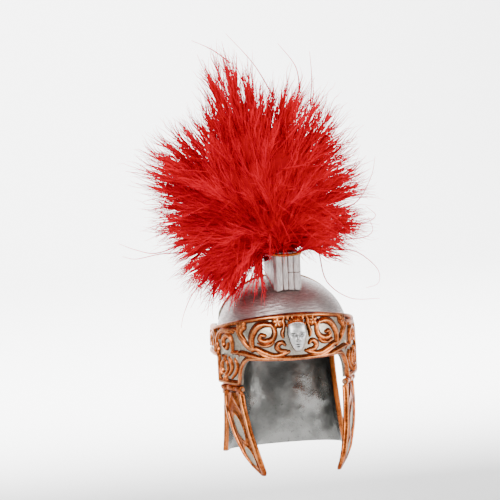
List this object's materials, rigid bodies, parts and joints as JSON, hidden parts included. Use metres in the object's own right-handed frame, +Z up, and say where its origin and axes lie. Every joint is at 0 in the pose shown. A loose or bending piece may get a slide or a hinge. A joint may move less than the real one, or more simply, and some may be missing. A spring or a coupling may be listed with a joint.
{
  "type": "miniature plumed roman helmet",
  "caption": "Small cast Roman helmet with a scroll-worked brow band, a mask on the brow, hinged cheek guards, a long neck plate and a box crest with a red feather plume.",
  "frame": {"origin": "middle of the head opening, level with the lower edge of the brow band", "axes": "+Z up through the crown to the plume, the face opening towards -Y, +X to the wearer's left"},
  "size_m": [0.0643, 0.0572, 0.1218],
  "materials": {
    "silver": "aged, brushed silver",
    "copper": "rubbed copper over a cast silver ground",
    "down": "dyed feather down",
    "pin": "plain wire"
  },
  "bodies": {
    "helmet": {"skull_bowl": "silver", "brow_band": "copper", "brow_mask": "silver", "crest_box": "silver", "plume": "down", "hinge_pin_left": "pin", "hinge_pin_right": "pin"},
    "left_cheek": {"cheek_guard_left": "copper"},
    "right_cheek": {"cheek_guard_right": "copper"}
  },
  "joints": [
    {"name": "left_cheek_hinge", "type": "hinge", "parent": "helmet", "child": "left_cheek", "pos_m": [0.0175, -0.01006, -0.009], "axis": [-0.4563, -0.8898, 0], "range_deg": [-12, 80]},
    {"name": "right_cheek_hinge", "type": "hinge", "parent": "helmet", "child": "right_cheek", "pos_m": [-0.0175, -0.01006, -0.009], "axis": [-0.4563, 0.8898, 0], "range_deg": [-12, 80]}
  ]
}
